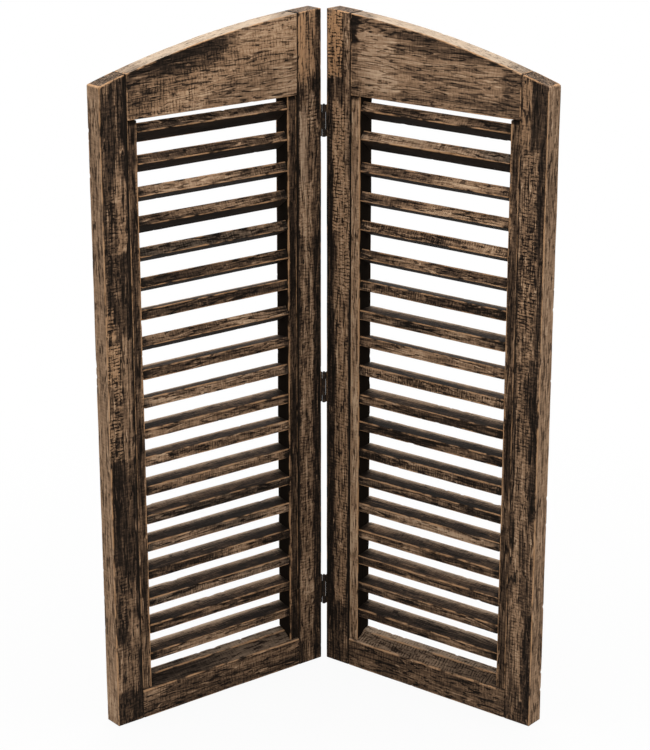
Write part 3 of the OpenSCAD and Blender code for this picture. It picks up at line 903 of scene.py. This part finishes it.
class SHUTTERS_OT_cheeks(bpy.types.Operator):
    """Makes the cheek strips that carry the slats"""

    bl_idname = "shutters.cheeks"
    bl_label = "Cheeks"

    def execute(self, context):
        sizes = context.scene.shutter_sizes
        wood = wood_for(context, "worn_cheek_wood", shine=0.0)
        for leaf in map(Leaf, SIDES):
            for number, kind in enumerate(("inner_cheek", "outer_cheek")):
                self.cheek(leaf, kind, sizes, wood, leaf.seed("cheek", number))
        return {"FINISHED"}

    @staticmethod
    def cheek(leaf, kind, sizes, wood, seed):
        """A rectangle carried upwards from the sill's slopes, which its foot is scribed to."""
        node = f"{leaf.side}_{kind}"
        (s0, t0, _), (s1, t1, top) = leaf.box(kind)
        depths = (0, sizes.sill_bevel, t1)
        heights = (sizes.sill_front, sizes.sill_break, leaf.box("bottom_rail")[1][2])
        section = still(rectangle(s0, t0, s1, t1))

        def foot(a, b):
            return np.interp(b, depths, heights)

        span = top - sizes.sill_break
        board = Board(span, section, CHEEK_FLATS, foot, level(top), sizes, seed, CHEEK_WEAR)
        patina = laid(board.l, board.a, [], (CHEEK_BARENESS[node], CHEEK_SAWN, 0.0), CHEEK_RUB, seed)
        inward, edge = (OUTSIDE, s1) if kind == "inner_cheek" else (INSIDE, s0)
        width = STRIP + STRIP * rough(board.l / STRIP_LENGTH, FIRST_LANE, seed + RUBBING)
        patina += soft(width - np.abs(board.a - edge), STRIP)[..., None] * STRIP_TONE
        patina[..., 0] -= HEAD_DARK * soft(board.l - top + HEAD_REACH, HEAD_REACH)
        patina[board.face == inward] = CHEEK_INSIDE
        planed = np.where(board.face == inward, CHEEK_INSIDE_PLANED, CHEEK_PLANED)
        piece = add_piece(f"{node}_board", board, leaf.upright, patina, (HIDDEN, HIDDEN), planed, wood)
        stand_for(piece, leaf.body, "cheek_wood", node)


class SHUTTERS_OT_slats(bpy.types.Operator):
    """Makes the slats, each tipped as its joint was left"""

    bl_idname = "shutters.slats"
    bl_label = "Slats"

    def execute(self, context):
        sizes = context.scene.shutter_sizes
        wood = wood_for(context, "worn_slat_wood", pitch=0.004, short=0.55, hatch=1.0)
        joints = {joint["name"]: joint for joint in frame["joints"]}
        for leaf in map(Leaf, SIDES):
            start = leaf.box("inner_cheek")[1][0] + sizes.slat_play
            end = leaf.box("outer_cheek")[0][0] - sizes.slat_play
            for number in range(1, SLAT_COUNT + 1):
                joint = joints[f"{leaf.side}_slat_{number:02d}_tilt"]
                self.slat(leaf, number, joint, (start, end), sizes, wood, leaf.seed("slat", number))
        return {"FINISHED"}

    @staticmethod
    def slat(leaf, number, joint, span, sizes, wood, seed):
        """A rectangle carried along the leaf and turned about the line of its pins. The joint's range is even
        about level, so its middle gives the tilt that the slat was left at."""
        node = f"{leaf.side}_slat_{number:02d}"
        tilt = -math.radians(sum(joint["range_deg"]) / 2)
        deep, thick = sizes.slat_deep / 2, sizes.slat_thick / 2
        section = still(rectangle(-deep, -thick, deep, thick))
        ends = level(span[0]), level(span[1])
        board = Board(span[1] - span[0], section, SLAT_FLATS, *ends, sizes, seed, SLAT_WEAR)
        toss = np.random.default_rng(seed).uniform(-1, 1, 4)
        front = SLAT_FRONT + SLAT_SPREAD * toss[[0, 1, 3]]
        front[1] = max(SLAT_SAWN, front[1])
        patina = laid(board.l, board.b, [], front, SLAT_RUB, seed)
        upper = laid(board.l, board.a, [], *SLAT_UPPER, seed + UPPER_FACE)
        upper[..., 0] += SLAT_UPPER_SPREAD * toss[2]
        # Painted sheen: the upper face is painted lighter and greyer towards its back, and stays darker at
        # its front as painted shade
        back = np.clip((board.a / deep + 1) / 2, 0, 1)
        upper += back[..., None] ** PAINTED_SHEEN_POWER * PAINTED_SHEEN
        patina = np.where((board.face == UPPER)[..., None], upper, patina)
        from_end = np.minimum(board.l - span[0], span[1] - board.l)
        soil = rough(board.l / SOIL_CELL[0], board.a / SOIL_CELL[1], seed + SOILING)
        # Random soil, less painted shade near the ends where the slats meet the cheeks
        patina[..., 0] += SOIL * soil - PAINTED_END_SHADE * soft(END_REACH - from_end, PAINTED_END_SHADE_FADE)
        patina[board.face == UNDER] = UNDERSIDE
        planed = np.where(board.face == UPPER, UPPER_PLANED, board.face == UNDER)
        axis = np.array(joint["pos_m"]) - leaf.pin
        t_axis, z_axis = axis @ leaf.back - leaf.front, axis[2]

        def turned(l, a, b):
            t = t_axis + a * math.cos(tilt) + b * math.sin(tilt)
            return leaf.world(l, t, z_axis - a * math.sin(tilt) + b * math.cos(tilt))

        piece = add_piece(f"{node}_blade", board, turned, patina, (HIDDEN, HIDDEN), planed, wood)
        stand_for(piece, node, "slat_wood", node)


class SHUTTERS_OT_hinges(bpy.types.Operator):
    """Gives the hinge plates, pins and screws their blackened iron"""

    bl_idname = "shutters.hinges"
    bl_label = "Hinges"

    def execute(self, context):
        iron = blackened_iron("blackened_hinge_iron", context.scene.shutter_colours)
        for name, node in frame["nodes"].items():
            if "hinge" in name:
                node.data.materials.clear()
                node.data.materials.append(iron)
        return {"FINISHED"}


# Lamps: their place, their size and the setting of their power. All look at one point
LAMPS = {
    "top_lamp": ((0.0, 0.1, 2.9), 2.2, "key"),
    "left_lamp": ((-2.3, -0.6, 1.6), 1.5, "side"),
    "right_lamp": ((2.3, -0.6, 1.6), 1.5, "side"),
    "front_lamp": ((0.0, -2.6, 2.2), 1.6, "fill"),
    "rear_lamp": ((0.0, 2.6, 1.9), 2.0, "rear"),
}
LAMP_TARGET = (0.0, 0.0, 0.5)
# The round floor: its radius, sides and level, how white it is near the shutters, and where it turns white
FLOOR_RADIUS, FLOOR_SIDES, FLOOR_LEVEL = 9, 96, -0.0006
FLOOR_NEAR, FLOOR_FADE = 0.94, (0.5, 1.4)


class SHUTTERS_OT_stage(bpy.types.Operator):
    """Makes the floor, the lamps, the white surroundings and the camera"""

    bl_idname = "shutters.stage"
    bl_label = "Stage"

    def execute(self, context):
        scene, stage = context.scene, context.scene.shutter_stage
        scene.view_settings.view_transform = "Standard"
        self.floor(scene, stage)
        self.surroundings(scene, stage)
        for name, (place, size, power) in LAMPS.items():
            self.lamp(scene, name, place, size, getattr(stage, power))
        self.camera(scene, stage)
        return {"FINISHED"}

    @staticmethod
    def shown(start):
        """1 where the eye sees a surface straight, in a reflection or through something clear."""
        path = start.node("ShaderNodeLightPath").socket.node.outputs
        rays = [Signal(start.tree, path[f"Is {kind} Ray"]) for kind in ("Camera", "Glossy", "Transmission")]
        return rays[0].math("MAXIMUM", rays[0].math("MAXIMUM", *rays[:2]), rays[2])

    def floor(self, scene, stage):
        """A round floor that looks white and keeps the shadow."""
        turn = np.linspace(0, FULL_TURN, FLOOR_SIDES, endpoint=False)
        rim = FLOOR_RADIUS * np.column_stack([np.cos(turn), np.sin(turn)])
        rim = np.column_stack([rim, np.full(FLOOR_SIDES, FLOOR_LEVEL)])
        mesh = bpy.data.meshes.new("floor")
        mesh.from_pydata(rim.tolist(), [], [list(range(FLOOR_SIDES))])
        floor = bpy.data.objects.new("floor", mesh)
        scene.collection.objects.link(floor)
        material, start = new_material("floor_paint")
        paint = start.node("ShaderNodeBsdfDiffuse", {}, {"Color": rgba(stage.floor)})
        glow = start.node("ShaderNodeEmission", {}, {"Color": WHITE, "Strength": 1.0})
        place = start.node("ShaderNodeTexCoord", {}, {}, "Object")
        away = start.node("ShaderNodeVectorMath", {"operation": "LENGTH"}, {0: place}, "Value")
        white = self.shown(start) * (FLOOR_NEAR + (1 - FLOOR_NEAR) * away.step(*FLOOR_FADE))
        mixed = start.node("ShaderNodeMixShader", {}, {0: white, 1: paint, 2: glow})
        start.node("ShaderNodeOutputMaterial", {}, {"Surface": mixed})
        mesh.materials.append(material)

    def surroundings(self, scene, stage):
        """White to the eye, and a soft grey light for everything else."""
        scene.world = scene.world or bpy.data.worlds.new("surroundings")
        scene.world.use_nodes = True
        tree = scene.world.node_tree
        tree.nodes.clear()
        start = Signal(tree)
        dim = start.node("ShaderNodeBackground", {}, {"Color": WHITE, "Strength": stage.ambient})
        white = start.node("ShaderNodeBackground", {}, {"Color": WHITE, "Strength": 1.0})
        mixed = start.node("ShaderNodeMixShader", {}, {0: self.shown(start), 1: dim, 2: white})
        start.node("ShaderNodeOutputWorld", {}, {"Surface": mixed})

    @staticmethod
    def lamp(scene, name, place, size, power):
        """A square soft lamp that looks at the shutters."""
        light = bpy.data.lights.new(name, "AREA")
        light.size, light.energy = size, power
        lamp = bpy.data.objects.new(name, light)
        lamp.location = place
        aim = np.array(LAMP_TARGET) - np.array(place)
        below = math.acos(-aim[2] / np.linalg.norm(aim))
        lamp.rotation_euler = (below, 0, math.atan2(aim[1], aim[0]) - QUARTER_TURN)
        scene.collection.objects.link(lamp)

    @staticmethod
    def camera(scene, stage):
        """The camera of the photograph, level across and tipped down."""
        pin = frame["joints"][0]["pos_m"]
        data = bpy.data.cameras.new("photo_camera")
        data.sensor_width = SENSOR
        data.lens = stage.focal * SENSOR
        camera = bpy.data.objects.new("photo_camera", data)
        camera.location = (pin[0] + stage.aside, pin[1] - stage.distance, stage.height)
        camera.rotation_euler = (QUARTER_TURN - stage.pitch, 0, 0)
        scene.collection.objects.link(camera)
        scene.camera = camera


OPERATORS = (
    SHUTTERS_OT_stage,
    SHUTTERS_OT_stiles,
    SHUTTERS_OT_rails,
    SHUTTERS_OT_cheeks,
    SHUTTERS_OT_slats,
    SHUTTERS_OT_hinges,
)
GROUPS = {"shutter_sizes": ShutterSizes, "shutter_colours": ShutterColours, "shutter_stage": ShutterStage}


class SHUTTERS_PT_panel(bpy.types.Panel):
    """Lists the steps and their settings"""

    bl_idname = "SHUTTERS_PT_panel"
    bl_label = "Louvre Shutters"
    bl_space_type = "VIEW_3D"
    bl_region_type = "UI"
    bl_category = "Shutters"

    def draw(self, context):
        for operator in OPERATORS:
            self.layout.operator(operator.bl_idname)
        for name, group in GROUPS.items():
            box = self.layout.box()
            for setting in group.__annotations__:
                box.prop(getattr(context.scene, name), setting)


def register():
    for group in GROUPS.values():
        bpy.utils.register_class(group)
    for name, group in GROUPS.items():
        setattr(bpy.types.Scene, name, PointerProperty(type=group))
    for operator in OPERATORS:
        bpy.utils.register_class(operator)
    bpy.utils.register_class(SHUTTERS_PT_panel)


def unregister():
    bpy.utils.unregister_class(SHUTTERS_PT_panel)
    for operator in reversed(OPERATORS):
        bpy.utils.unregister_class(operator)
    for name in GROUPS:
        delattr(bpy.types.Scene, name)
    for group in reversed(GROUPS.values()):
        bpy.utils.unregister_class(group)


def main():
    register()
    bpy.ops.shutters.stage()
    bpy.ops.shutters.stiles()
    bpy.ops.shutters.rails()
    bpy.ops.shutters.cheeks()
    bpy.ops.shutters.slats()
    bpy.ops.shutters.hinges()


if __name__ == "__main__":
    main()
